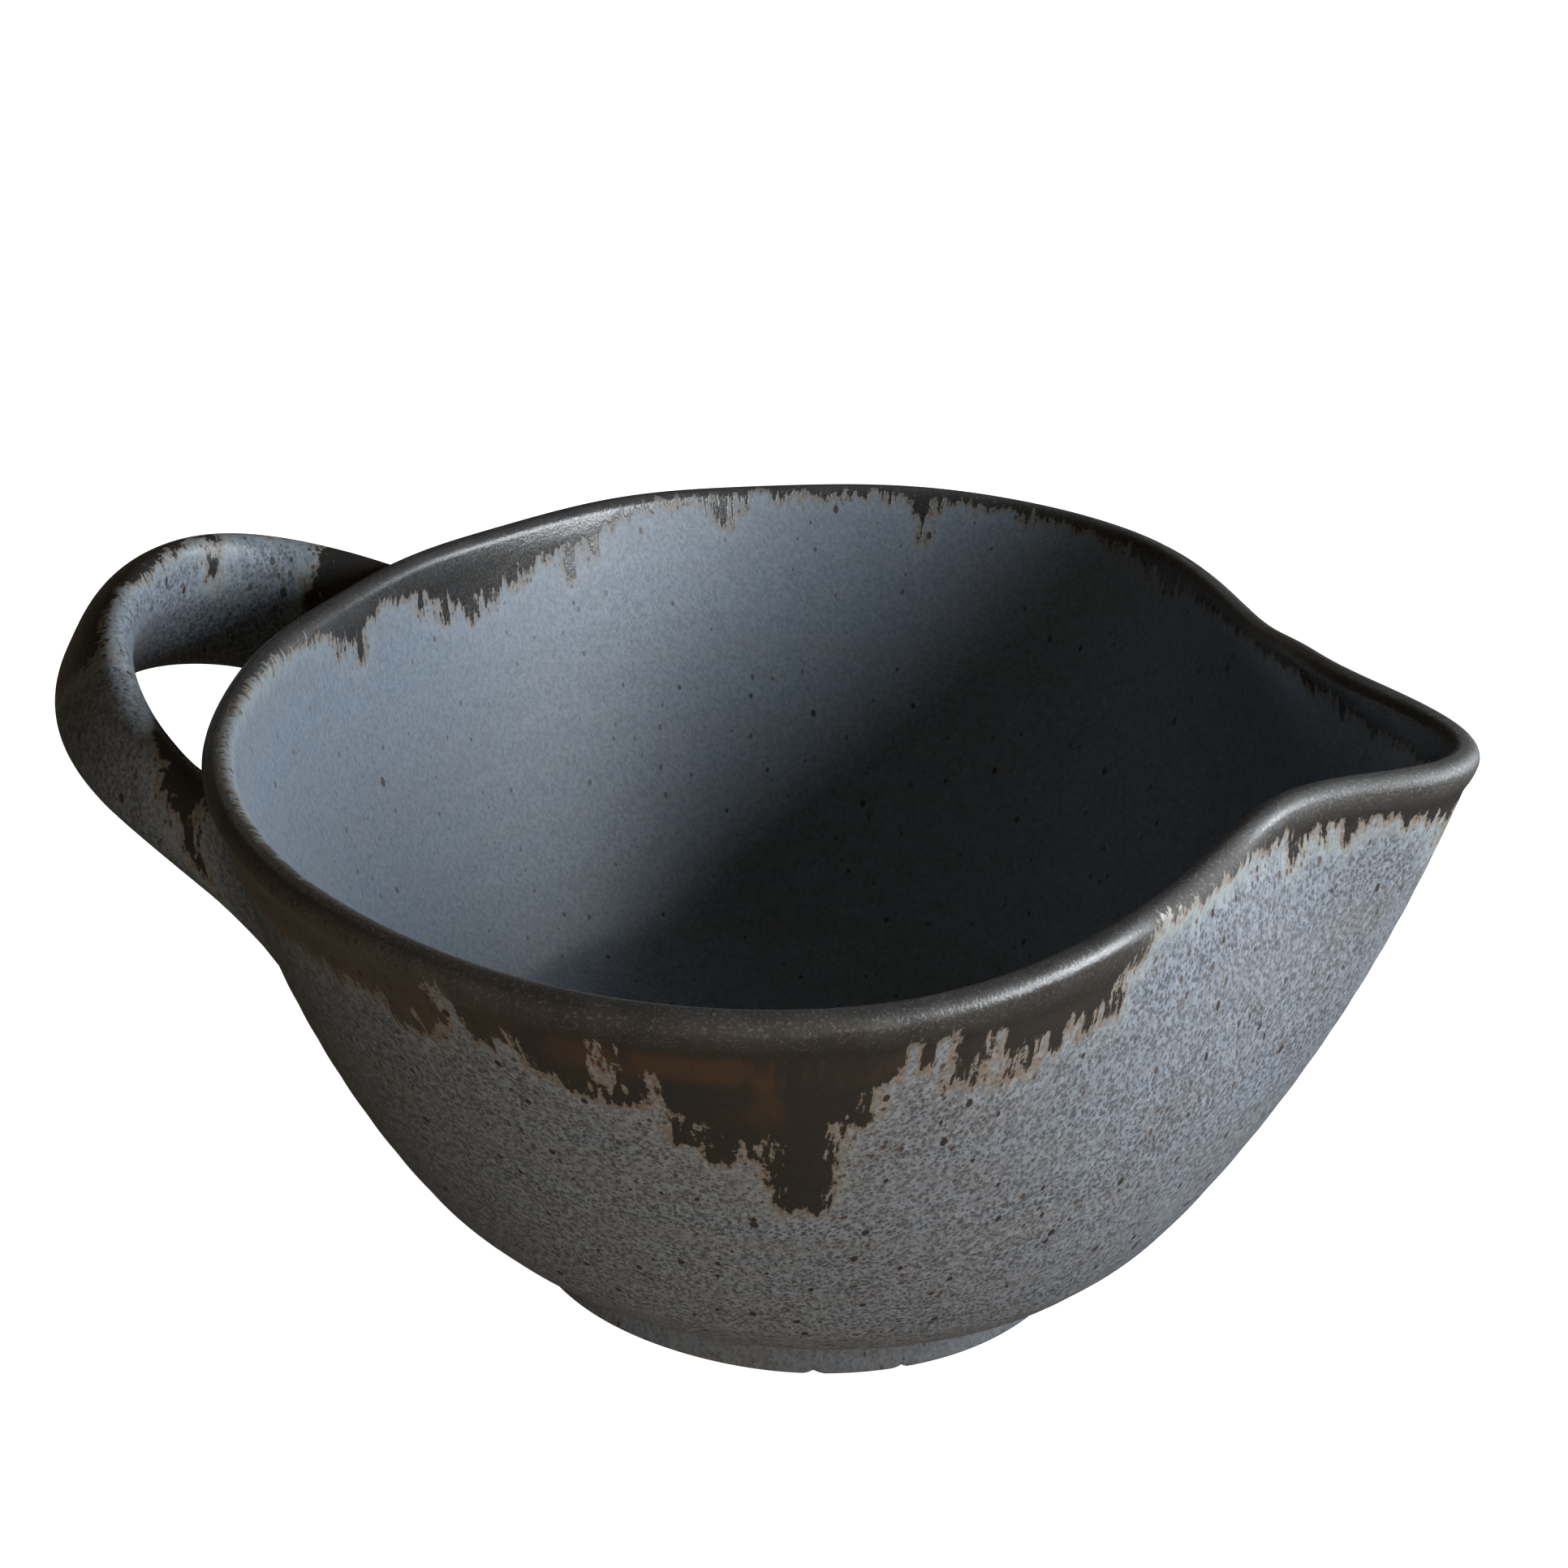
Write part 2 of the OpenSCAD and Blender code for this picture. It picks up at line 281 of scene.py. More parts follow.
def grid_quads(rings, n):
    """Quads between closed rings of n points each, in order."""
    k = np.arange(rings - 1)[:, None] * n
    i = np.arange(n)[None, :]
    j = (i + 1) % n
    return np.stack([k + i, k + n + i, k + n + j, k + j], -1).reshape(-1, 4)


def lofted(name, rings, ends, fields, inside_out=False):
    """A closed skin through rings of points, with one more point in the middle of the first and the last."""
    count, n = rings.shape[:2]
    i = np.arange(n)
    j = (i + 1) % n
    first_end, last = count * n, (count - 1) * n
    quads = grid_quads(count, n)
    first_fan = np.stack([np.full(n, first_end), i, j], -1)
    last_fan = np.stack([np.full(n, first_end + 1), last + j, last + i], -1)
    fans = np.concatenate([first_fan, last_fan])
    if inside_out:
        quads, fans = quads[:, ::-1], fans[:, [0, 2, 1]]
    points = np.concatenate([rings.reshape(-1, 3), ends])
    with_ends = {}
    for key, value in fields.items():
        flat = value.reshape(-1, *value.shape[2:])
        with_ends[key] = np.concatenate([flat, flat[:1], flat[-1:]])
    return make_mesh(name, points, quads.tolist() + fans.tolist(), with_ends)


def arc_below(points):
    """Length along each meridian, from the first ring."""
    d = np.linalg.norm(np.diff(points, axis=0), axis=-1)
    return np.concatenate([np.zeros((1, points.shape[1])), np.cumsum(d, 0)])


# ---------------- the thrown body
SECTORS = 448
SECTOR_PULL = 22.0      # degrees by which the sectors crowd towards the spout
LIP_RINGS = 8           # on each half of the lip
FLOOR_RINGS = 20
STREAK_R = 108.0        # radius that streaks are laid out on
STREAK_LONG = 0.24      # streaks are this share as fine down the wall as along it
INNER_STREAKS = 40      # shifts the inside's streaks away from the outside's
MM_PER_DEGREE = 1.9     # round the rim

BEAD_H, BEAD_OUT, BEAD_WAVER = 7.2, 0.75, 0.5
GROOVE_DROP, GROOVE_DEEP, GROOVE_HALF = 1.2, 0.14, 1.3
OUTER_RING_DEEP, OUTER_RING_PITCH, INNER_RING_DEEP, INNER_RING_PITCH = 0.035, 6.5, 0.022, 8
OUTER_RING_WAVER, INNER_RING_WAVER = 0.5, 0.6
WOBBLE_DEEP, RISE_DEEP = 0.07, 0.22
OUTER_COAT, INNER_COAT = 0.2, 0.12          # how far the dark glaze stands up
LOW_TUCK, FOOT_TUCK = 0.9, 1.2              # how far the wall draws in low down, and just above the foot
LEDGE_RISE = 1.9                            # of the turned step above the foot's own height
LEDGE_EDGE = (0.45, 0.12)                   # rounding: how far the ledge's outer rings sit above its flat
UNDER_DOME, UNDER_GROOVE, UNDER_PITCH = 0.5, 0.09, 4.3
# shares of the step's radius where the underside's rings lie: on the ledge, under it, and in to the middle
LEDGE_SHARES, UNDER_SHARES, MIDDLE_SHARES = (0.977, 0.967), (0.957, 0.82, 5), (0.80, 0.03, 20)

# where each unevenness sets in: mm below the crest, mm above the floor, and mm into the dark glaze
OUTER_RINGS_FROM, WOBBLE_FROM, OUTER_COAT_FROM = (10, 30), (4, 26), (3, 9)
INNER_RINGS_FROM, INNER_COAT_FROM = (12, 30), (2, 6)
RINGS_ABOVE, WOBBLE_ABOVE, RISE_ABOVE = (FOOT_H + 1, FOOT_H + 8), (7, 16), (60, RIM_H - 8)
LOW_TUCK_UNDER, FOOT_TUCK_UNDER = (FOOT_H + 17, FOOT_H + 6), (FOOT_H + 8, FOOT_H)
COAT_EDGE = (-1.2, 1.6)

TAN_LINE_UP, TAN_LINE_HALF, TAN_LINE_CLAY = 0.6, 0.6, 0.9
SKIRT_UP, SKIRT_HALF = 2.4, 2.0
# rusty patches laid out from one angle: strength, mm round the rim, half width, depth, half height, sharpness
MAIN_RUST_AT, MAIN_RUST = -80, ((1.0, -4, 24, 11, 3.2, 4), (0.8, 3, 4.5, 16, 8, 2))
# other rusty patches: strength, angle, half width in degrees, depth
SIDE_RUST, SIDE_RUST_HALF_HEIGHT = ((0.55, -118, 26, 12), (0.5, 90, 20, 14)), 8


def sector_angles():
    even = 360 * np.arange(SECTORS) / SECTORS - 180
    return even - SECTOR_PULL * np.sin(np.radians(even))


def two_spacings(start, turn, end, first, second):
    """Numbers from start to end: one even spacing as far as turn and another after it."""
    return np.concatenate([np.linspace(start, turn, first), np.linspace(turn, end, second)[1:]])


def wall_rings(a):
    """Rings from the lip's crest down the outside, and from the crest down the inside and over the floor."""
    def rings(surface, values):
        return np.stack([surface(a, np.full_like(a, v)) for v in values])

    # closer rings near the rim, where the dark glaze ends
    outer_u = 1 - two_spacings(0, 0.42, 1, 52, 50)
    outer = np.concatenate([rings(lip, np.linspace(90, 0, LIP_RINGS + 1)[:-1]), rings(outside, outer_u)])
    inner_u = two_spacings(1, 0.8, FLOOR_START, 24, 34)
    inner = np.concatenate([rings(lip, np.linspace(90, 180, LIP_RINGS + 1)[:-1]), rings(inside, inner_u)])
    edge = inner[-1]
    edge_r = np.hypot(edge[:, 0], edge[:, 1])
    floor = []
    for v in np.linspace(0, 1, FLOOR_RINGS + 2)[1:-1]:
        r = (1 - v) ** 2 * edge_r + 2 * v * (1 - v) * FLOOR_TURN * edge_r
        z = (1 - v) ** 2 * edge[:, 2] + (1 - (1 - v) ** 2) * (FOOT_H + FLOOR_T)
        floor.append(np.stack([r * np.cos(np.radians(a)), r * np.sin(np.radians(a)), z], -1))
    return outer, np.concatenate([inner, np.stack(floor)])


def throwing_rings(deep, pitch, z, turn, waver):
    """The one long spiral that fingers leave on a turning pot."""
    return deep * np.sin(2 * math.pi * (z + turn / 360 * pitch) / pitch + waver)


def raised_coat(height, dark):
    return height * step(*COAT_EDGE, dark)


def outer_relief(a, s, z, dark):
    """How far the outside stands off its plain form: bead, groove, rings, wobble, dark coat and low tuck."""
    bead = BEAD_OUT * np.sin(math.pi * np.clip(s / (BEAD_H + BEAD_WAVER * RING_WAVER(a)), 0, 1))
    groove = -GROOVE_DEEP * np.exp(-((s - BEAD_H - GROOVE_DROP) / GROOVE_HALF) ** 2)
    rings = throwing_rings(OUTER_RING_DEEP, OUTER_RING_PITCH, z, a, OUTER_RING_WAVER * RING_WAVER(a, s))
    rings *= step(*OUTER_RINGS_FROM, s) * step(*RINGS_ABOVE, z)
    wobble = WALL_WOBBLE(a, s) * WOBBLE_DEEP * step(*WOBBLE_FROM, s) * step(*WOBBLE_ABOVE, z)
    coat = raised_coat(OUTER_COAT, dark) * step(*OUTER_COAT_FROM, s)
    tuck = LOW_TUCK * step(*LOW_TUCK_UNDER, z) + FOOT_TUCK * step(*FOOT_TUCK_UNDER, z)
    return bead + groove + rings + wobble + coat - tuck


def inner_relief(a, s, z, dark):
    rings = throwing_rings(INNER_RING_DEEP, INNER_RING_PITCH, z, -a, INNER_RING_WAVER * RING_WAVER(a, s))
    return rings * step(*INNER_RINGS_FROM, s) + raised_coat(INNER_COAT, dark) * step(*INNER_COAT_FROM, s)


def uneven(points, off, heading, rise):
    """Moves each point along the surface's own normal, and the lip a little up or down."""
    round_ring = np.roll(points, -1, 1) - np.roll(points, 1, 1)
    normal = unit(np.cross(round_ring, np.gradient(points, axis=0))) * heading
    moved = points + normal * off[..., None]
    moved[..., 2] += rise * step(*RISE_ABOVE, points[..., 2])
    return moved


def underside_rings(a):
    """The ledge of the turned step, then the slightly domed underside with its turning grooves."""
    shares = np.concatenate([LEDGE_SHARES, np.linspace(*UNDER_SHARES), np.linspace(*MIDDLE_SHARES)])
    lifts = LEDGE_EDGE + (0.0,) * (len(shares) - len(LEDGE_EDGE))
    rings = []
    for r, lift in zip(shares * STEP_R, lifts):
        z = FOOT_H + lift + LEDGE_RISE * (r > FOOT_R)
        if r < FOOT_R - FOOT_W:
            dome = 1 - (r / (FOOT_R - FOOT_W)) ** 2
            z += UNDER_DOME * dome + UNDER_GROOVE * math.sin(2 * math.pi * r / UNDER_PITCH)
        rings.append(np.stack([r * np.cos(np.radians(a)), r * np.sin(np.radians(a)), np.full_like(a, z)], -1))
    return np.stack(rings)


def sector(a, at, half):
    """1 round one angle and 0 away from it."""
    return np.exp(-(turn_of(a - at) / half) ** 4)


def soft_patch(x, half_x, y, half_y, power):
    """1 round one place and 0 away from it; power is how sharply it ends sideways."""
    return np.exp(-(x / half_x) ** power - (y / half_y) ** 4)


def body_fields(a, s, dark, inner, z, under):
    """What the glaze needs to know at each point of the body, whose last `under` rings are its underside."""
    outer = 1 - inner
    above_ledge = z - FOOT_H - LEDGE_RISE
    tan_line = np.exp(-((above_ledge - TAN_LINE_UP) / TAN_LINE_HALF) ** 2) * outer
    skirt = np.exp(-((above_ledge - SKIRT_UP) / SKIRT_HALF) ** 2) * outer
    from_main = turn_of(a - MAIN_RUST_AT) * MM_PER_DEGREE
    rust = np.zeros_like(s)
    for strength, at, half, depth, high, power in MAIN_RUST:
        rust += strength * soft_patch(from_main - at, half, s - depth, high, power) * outer
    for strength, at, half, depth in SIDE_RUST:
        rust += strength * soft_patch(turn_of(a - at), half, s - depth, SIDE_RUST_HALF_HEIGHT, 4) * outer
    for field in (tan_line, skirt, rust):
        field[-under:] = 0
    clay = np.zeros_like(s)
    clay[-under:-under + len(LEDGE_EDGE)] = 1.0
    # the fringe is palest beside the spout; the lip is dry there, at the spout and inside by the near root
    pale = sector(a, -38, 10) * outer + 0.4 * sector(a, -10, 16)
    pale += 0.6 * sector(a, -142, 34) * (s < 9) * inner
    down = (s + INNER_STREAKS * (inner > 0.01)) * STREAK_LONG
    return {
        "dark": dark, "inner": inner, "clay": np.maximum(clay, tan_line * TAN_LINE_CLAY), "rust": rust,
        "pale": pale, "thin": sector(a, -126, 26) * outer, "crest": s, "skirt": skirt,
        "flow": np.stack([STREAK_R * np.cos(np.radians(a)), STREAK_R * np.sin(np.radians(a)), down], -1)
    }


def thrown_bowl():
    """One skin: floor centre, inside, lip, outside, ledge and underside."""
    a = sector_angles()
    outer, inner = wall_rings(a)
    s_out, s_in = arc_below(outer), arc_below(inner)
    a_out, a_in = np.broadcast_to(a, s_out.shape), np.broadcast_to(a, s_in.shape)
    dark_out = dark_distance(a_out, s_out, OUTER_BAND, OUTER_RUNS, OUTER_GAPS)
    dark_in = dark_distance(a_in, s_in, INNER_BAND, INNER_RUNS)

    rise = RISE_DEEP * RIM_RISE(a)
    outer = uneven(outer, outer_relief(a_out, s_out, outer[..., 2], dark_out), -1, rise)
    inner = uneven(inner, inner_relief(a_in, s_in, inner[..., 2], dark_in), 1, rise)
    outer[-1, :, 2] += LEDGE_EDGE[0]
    under = underside_rings(a)

    # the crest's ring is the inside's, so the outside adds its rings from the second one on
    stack = np.concatenate([inner[::-1], outer[1:], under])
    below = np.zeros((len(under), SECTORS))
    s = np.concatenate([s_in[::-1], s_out[1:], s_out[-1] + 5 + below])
    dark = np.concatenate([dark_in[::-1], dark_out[1:], NO_DARK + below])
    inner_mask = np.concatenate([step(0.0, 3.0, s_in[::-1]), np.zeros((len(stack) - len(inner), SECTORS))])
    fields = body_fields(np.broadcast_to(a, s.shape), s, dark, inner_mask, stack[..., 2], len(under))
    ends = [[0, 0, FOOT_H + FLOOR_T], [0, 0, FOOT_H + UNDER_DOME]]
    return lofted("thrown_bowl", stack, ends, fields)


# ---------------- the foot
FOOT_SECTORS = 360
FOOT_UNEVEN = 0.06
# chips in the outer edge: angle, half width, depth in mm
CHIPS = ((-71.0, 0.8, 0.7), (-54.2, 0.6, 0.5), (131.0, 1.0, 0.6))
CHIP_HIGH, CHIP_LIFT = 1.3, 0.5
# mm above the floor over which the bare clay gives way to glaze, outside and inside the ring
BARE_OUTSIDE, BARE_INSIDE, BARE_WAVER = (0.05, 0.6), (0.5, 1.8), 0.12
FOOT_IN_R = FOOT_R - FOOT_W
# down the slightly hollow outer face, round the resting face and up the inner face
FOOT_PROFILE = [
    (FOOT_R - 0.1, FOOT_H + 2.4), (FOOT_R - 0.05, FOOT_H + 1.2), (FOOT_R - 0.1, FOOT_H + 0.3),
    (FOOT_R - 0.15, FOOT_H - 0.6), (FOOT_R - 0.18, FOOT_H - 1.3), (FOOT_R - 0.15, FOOT_H - 2.1),
    (FOOT_R - 0.12, FOOT_H - 3.0), (FOOT_R - 0.08, FOOT_H - 3.9), (FOOT_R - 0.03, FOOT_H - 4.8),
    (FOOT_R, 1.4), (FOOT_R, 0.9), (FOOT_R - 0.15, 0.45), (FOOT_R - 0.6, 0.15), (FOOT_R - 1.1, 0.02),
    (FOOT_R - 1.8, 0.0), (FOOT_R - 3.0, 0.0), (FOOT_R - 4.4, 0.0), (FOOT_IN_R + 1.2, 0.0),
    (FOOT_IN_R + 0.6, 0.12), (FOOT_IN_R + 0.2, 0.5), (FOOT_IN_R, 1.0), (FOOT_IN_R - 0.2, 2.2),
    (FOOT_IN_R - 0.4, 3.6), (FOOT_IN_R - 0.6, 5.2), (FOOT_IN_R - 0.8, FOOT_H + 0.05)
]


def turned_foot():
    """The foot ring: softened edges, a wavering side and three small chips in its outer edge."""
    a = np.arange(FOOT_SECTORS) * 360.0 / FOOT_SECTORS
    points, clay = [], []
    for r, z in FOOT_PROFILE:
        ring_r = np.full(FOOT_SECTORS, r) + FOOT_UNEVEN * FOOT_WAVE(a + 3 * z)
        ring_z = np.full(FOOT_SECTORS, z)
        if r > (FOOT_R + FOOT_IN_R) / 2:
            for at, half, deep in CHIPS:
                bite = deep * np.exp(-(arc_mm(a, at, FOOT_R) / half) ** 2) * math.exp(-(z / CHIP_HIGH) ** 2)
                ring_r -= bite
                ring_z += CHIP_LIFT * bite * (z < 0.5)
            clay.append(1 - step(*BARE_OUTSIDE, z + BARE_WAVER * FOOT_WAVE(a)))
        else:
            clay.append(np.full(FOOT_SECTORS, 1 - step(*BARE_INSIDE, z)))
        points.append(np.stack([ring_r * np.cos(np.radians(a)), ring_r * np.sin(np.radians(a)), ring_z], -1))
    flat = np.concatenate(points)
    size = len(flat)
    fields = {
        "dark": np.full(size, NO_DARK), "inner": np.zeros(size), "clay": np.concatenate(clay),
        "rust": np.zeros(size), "pale": np.zeros(size), "thin": np.zeros(size), "crest": np.full(size, 150.0),
        "flow": np.stack([flat[:, 0], flat[:, 1], flat[:, 2] * STREAK_LONG], -1)
    }
    return make_mesh("turned_foot", flat, grid_quads(len(FOOT_PROFILE), FOOT_SECTORS).tolist(), fields)


# ---------------- the handle
SPINE = np.array([
    outside(LEFT_ANGLE, np.array(END_PLACE)), LOOP[0], LOOP[1], outside(-RIGHT_ANGLE, np.array(END_PLACE))])
HANDLE_SIDES, STRAP_RINGS, ROOT_RINGS = 96, 92, 26
RIDGES, RIDGE_TURN, RIDGE_OUT, WAVER_OUT = 6, 40, 0.16, 0.22
NEAR_ROOTS = (0.26, 0.76)       # shares of the loop between which the strap is clear of the wall
FILLET, FILLET_PUSH, SINK = 7.0, 0.75, 0.4
LIP_CLEAR, LIP_CLEAR_SPAN = 3.0, 10
ROOT_UNDER_LIP, ROOT_RISE_OUT = 0.6, 0.3


def mid_share(s):
    return np.sin(math.pi * np.clip(s, 0, 1)) ** 2


def strap_frame(s):
    """Middle, two axes and two half sizes of the strap's section at a share s of the loop."""
    s = np.asarray(s, float)
    along = unit(bezier_slope(SPINE, s))
    side = unit(np.cross(along, [0, 0, 1.0]))
    lean = np.radians(STRAP_LEAN * mid_share(s))[..., None]
    high = np.cross(side, along) * np.cos(lean) - side * np.sin(lean)
    flat = np.cross(along, high)
    ends = STRAP_LEFT_W + (STRAP_RIGHT_W - STRAP_LEFT_W) * s
    half_w = (ends + (STRAP_W - ends) * mid_share(s)) / 2
    half_t = (STRAP_END_T + (STRAP_T - STRAP_END_T) * mid_share(s)) / 2
    return bezier(SPINE, s), high, flat, half_w, half_t


def squared(x):
    return np.sign(x) * np.abs(x) ** SECTION_SQUARE


def strap_section(s):
    centre, high, flat, half_w, half_t = strap_frame(s)
    turn = 2 * math.pi * np.arange(HANDLE_SIDES) / HANDLE_SIDES
    c, d = squared(np.cos(turn)), squared(np.sin(turn))
    return centre + half_w * c[:, None] * high + half_t * d[:, None] * flat


def landing(a, place, root_h, heading):
    """The ring just inside the wall that a root spreads to."""
    place = np.array(place)
    out, high = outward(a, place), up_wall(a, place)
    flat = heading * np.cross(out, high)
    turn = 2 * math.pi * np.arange(HANDLE_SIDES) / HANDLE_SIDES
    return (outside(a, place) - ROOT_DEPTH * out + root_h / 2 * np.cos(turn)[:, None] * high
            + ROOT_W / 2 * np.sin(turn)[:, None] * flat)


def strap_rings():
    """Rings along the loop, which blend at both ends into the landings, and their shares of the loop."""
    rings, places = [], []

    def add(place, blend=0.0, root=None):
        ring = strap_section(place)
        if root:
            ring = ring * (1 - blend * blend) + landing(*root) * blend * blend
        rings.append(ring)
        places.append(place)

    to_strap = np.linspace(1, 0, ROOT_RINGS + 1)
    for blend in to_strap[:-1]:
        add(LEFT_END * (1 - blend), blend, ROOTS[0])
    for place in np.linspace(LEFT_END, RIGHT_END, STRAP_RINGS):
        add(place)
    for blend in to_strap[::-1][1:]:
        add(1 - (1 - RIGHT_END) * (1 - blend), blend, ROOTS[1])
    return np.stack(rings), np.array(places)


def pulled_by_hand(stack, places):
    """Slight long ridges along the strap, and a soft waver."""
    turn = 360 * np.arange(HANDLE_SIDES) / HANDLE_SIDES
    ridge = RIDGE_OUT * np.cos(np.radians(turn * RIDGES + RIDGE_TURN))[None, :] * mid_share(places)[:, None]
    waver = WAVER_OUT * STRAP_WAVER(turn[None, :], places[:, None])
    return stack + unit(stack - stack.mean(1, keepdims=True)) * (ridge + waver)[..., None]


def read_field(mesh, key):
    values = np.empty(len(mesh.vertices), np.float32)
    mesh.attributes[key].data.foreach_get("value", values)
    return values


def smeared(p, middle, normal, off_wall, crest):
    """A point of the strap near the wall, pushed out so that the join is a soft fillet."""
    away = p - middle
    away -= normal * away.dot(normal)
    if away.length > 1e-6:
        t = max(0.0, min(1.0, off_wall / FILLET))
        push = FILLET * FILLET_PUSH * (1 - math.sqrt(max(0.0, 1 - (1 - t) ** 2)))
        push *= float(step(LIP_CLEAR, LIP_CLEAR + LIP_CLEAR_SPAN, crest))
        p = p + away.normalized() * push
    return p - normal * SINK if off_wall < 0 else p


def joined_to_wall(stack, places, bowl):
    """Smears the roots on to the wall; also gives each point's distance off it and the wall's glaze there."""
    mesh = bowl.data
    co = np.empty(len(mesh.vertices) * 3)
    mesh.vertices.foreach_get("co", co)
    polys = [tuple(p.vertices) for p in mesh.polygons]
    tree = BVHTree.FromPolygons([Vector(c) for c in co.reshape(-1, 3) / MM], polys)
    dark, crest = read_field(mesh, "dark"), read_field(mesh, "crest")
    off_wall = np.full(stack.shape[:2], 99.0)
    wall_dark, wall_crest = np.zeros(stack.shape[:2]), np.zeros(stack.shape[:2])
    moved = stack.copy()
    for k, ring in enumerate(stack):
        if NEAR_ROOTS[0] < places[k] < NEAR_ROOTS[1]:
            continue
        middle = Vector(ring.mean(0))
        for i, point in enumerate(ring):
            p = Vector(point)
            near, normal, index, d = tree.find_nearest(p)
            off_wall[k, i] = d if (p - near).dot(normal) > 0 else -d
            corner = polys[index][0]
            wall_dark[k, i], wall_crest[k, i] = dark[corner], crest[corner]
            if off_wall[k, i] < FILLET:
                moved[k, i] = smeared(p, middle, normal, off_wall[k, i], wall_crest[k, i])
    return moved, off_wall, wall_dark, wall_crest


def kept_under_lip(stack):
    """Presses the roots down softly where they would stand above the rim."""
    a = np.degrees(np.arctan2(stack[..., 1], stack[..., 0]))
    past = np.hypot(stack[..., 0], stack[..., 1]) - rim_radius(a)
    ceiling = rim_height(a) - ROOT_UNDER_LIP + ROOT_RISE_OUT * np.maximum(past, 0)
    over = stack[..., 2] - ceiling
    stack[..., 2] -= np.where(past < 12, 0.5 * (over + np.sqrt(over ** 2 + 1.0)), 0) * (1 - step(4, 12, past))
    return stack


# The dark glaze on the strap. Degrees around the strap run from 0 on its upper edge, + down the outer face.
# (share of the loop, degrees where the dark of the upper edge starts)
EDGE_START = [
    (0.15, 16), (0.30, 14), (0.34, -2), (0.362, 11), (0.40, -4), (0.45, -7), (0.50, -8), (0.549, -15),
    (0.586, 0), (0.60, 8), (0.63, 11), (0.65, 19), (0.69, 28), (0.713, 22), (0.745, 19)
]
# (degrees around the strap, share of the loop): where that dark ends, and both sides of the near root's patch
EDGE_END = [(0, 0.75), (20, 0.745), (60, 0.735), (90, 0.70), (120, 0.66)]
EDGE_FAR = 105.0
PATCH_FROM = [
    (-90, 0.83), (-22, 0.852), (4, 0.876), (15, 0.895), (30, 0.902), (49, 0.908), (60, 0.914), (71, 0.920),
    (94, 0.926), (109, 0.934), (125, 0.96)
]
PATCH_TO = [(0, 1.1), (11, 0.945), (26, 0.936), (45, 0.93), (68, 0.93), (90, 0.934), (109, 0.936)]
FAR_PATCH_END, DRIP_AT, DRIP_END, DRIP_HALF, DRIP_OVER = 0.146, 0.332, -50.0, 0.40, 1.0
NEAR_WALL = (0.5, 4.5)          # mm off the wall over which the wall's glaze gives way to the strap's
STRAP_PALE, ROOT_RUST, STRAP_CREST = 0.45, 0.45, 60


def lookup(table, x):
    return np.interp(x, *zip(*table))


def around_strap(stack):
    """Length around the strap from its upper edge: for each point, and as a function of degrees."""
    turn = turn_of(360 * np.arange(HANDLE_SIDES) / HANDLE_SIDES)
    order = np.argsort(turn)
    steps = np.linalg.norm(np.roll(stack, -1, 1) - stack, axis=-1)[:, order]
    arc = np.cumsum(steps, 1) - steps
    zero = int(np.searchsorted(turn[order], 0))
    arc = arc - arc[:, zero:zero + 1]
    around = np.empty_like(arc)
    around[:, order] = arc

    def arc_at(degrees):
        return np.array([np.interp(d, turn[order], row) for d, row in zip(degrees, arc)])[:, None]

    return turn, around, arc_at


def strap_dark(stack, places):
    """Signed distance in mm into the dark glaze on the strap."""
    turn, around, arc_at = around_strap(stack)
    length = np.linalg.norm(bezier_slope(SPINE, places), axis=-1)[:, None]
    s = places[:, None]
    edge = around - arc_at(lookup(EDGE_START, places))
    edge = np.minimum(edge, (lookup(EDGE_END, turn)[None, :] - s) * length)
    edge = np.minimum(edge, arc_at(np.full(len(places), EDGE_FAR)) - around)
    far = (FAR_PATCH_END - s) * length + 0 * around
    patch = np.minimum(s - lookup(PATCH_FROM, turn)[None, :], lookup(PATCH_TO, turn)[None, :] - s) * length
    drip_from_end = around - arc_at(np.full(len(places), DRIP_END))
    drip = np.minimum(DRIP_HALF - np.abs(s - DRIP_AT) * length, drip_from_end)
    drip = np.minimum(drip, 2 - around) + DRIP_OVER
    return np.maximum.reduce([edge, far, patch, drip])


def pulled_handle(bowl):
    """The strap and its two roots as one skin, smeared on to the wall."""
    stack, places = strap_rings()
    stack = pulled_by_hand(stack, places)
    stack, off_wall, wall_dark, wall_crest = joined_to_wall(stack, places, bowl)
    stack = kept_under_lip(stack)
    near = 1 - step(*NEAR_WALL, off_wall)
    zero = np.zeros_like(near)
    down = (stack[..., 2] + 20) * STREAK_LONG
    fields = {
        "dark": strap_dark(stack, places) * (1 - near) + np.clip(wall_dark, -12, 12) * near,
        "inner": zero, "clay": zero, "rust": ROOT_RUST * near, "pale": STRAP_PALE + zero, "thin": zero,
        "crest": STRAP_CREST * (1 - near) + wall_crest * near,
        "flow": np.stack([stack[..., 0], stack[..., 1], down], -1)
    }
    ends = [stack[0].mean(0), stack[-1].mean(0)]
    return lofted("pulled_handle", stack, ends, fields, inside_out=True)


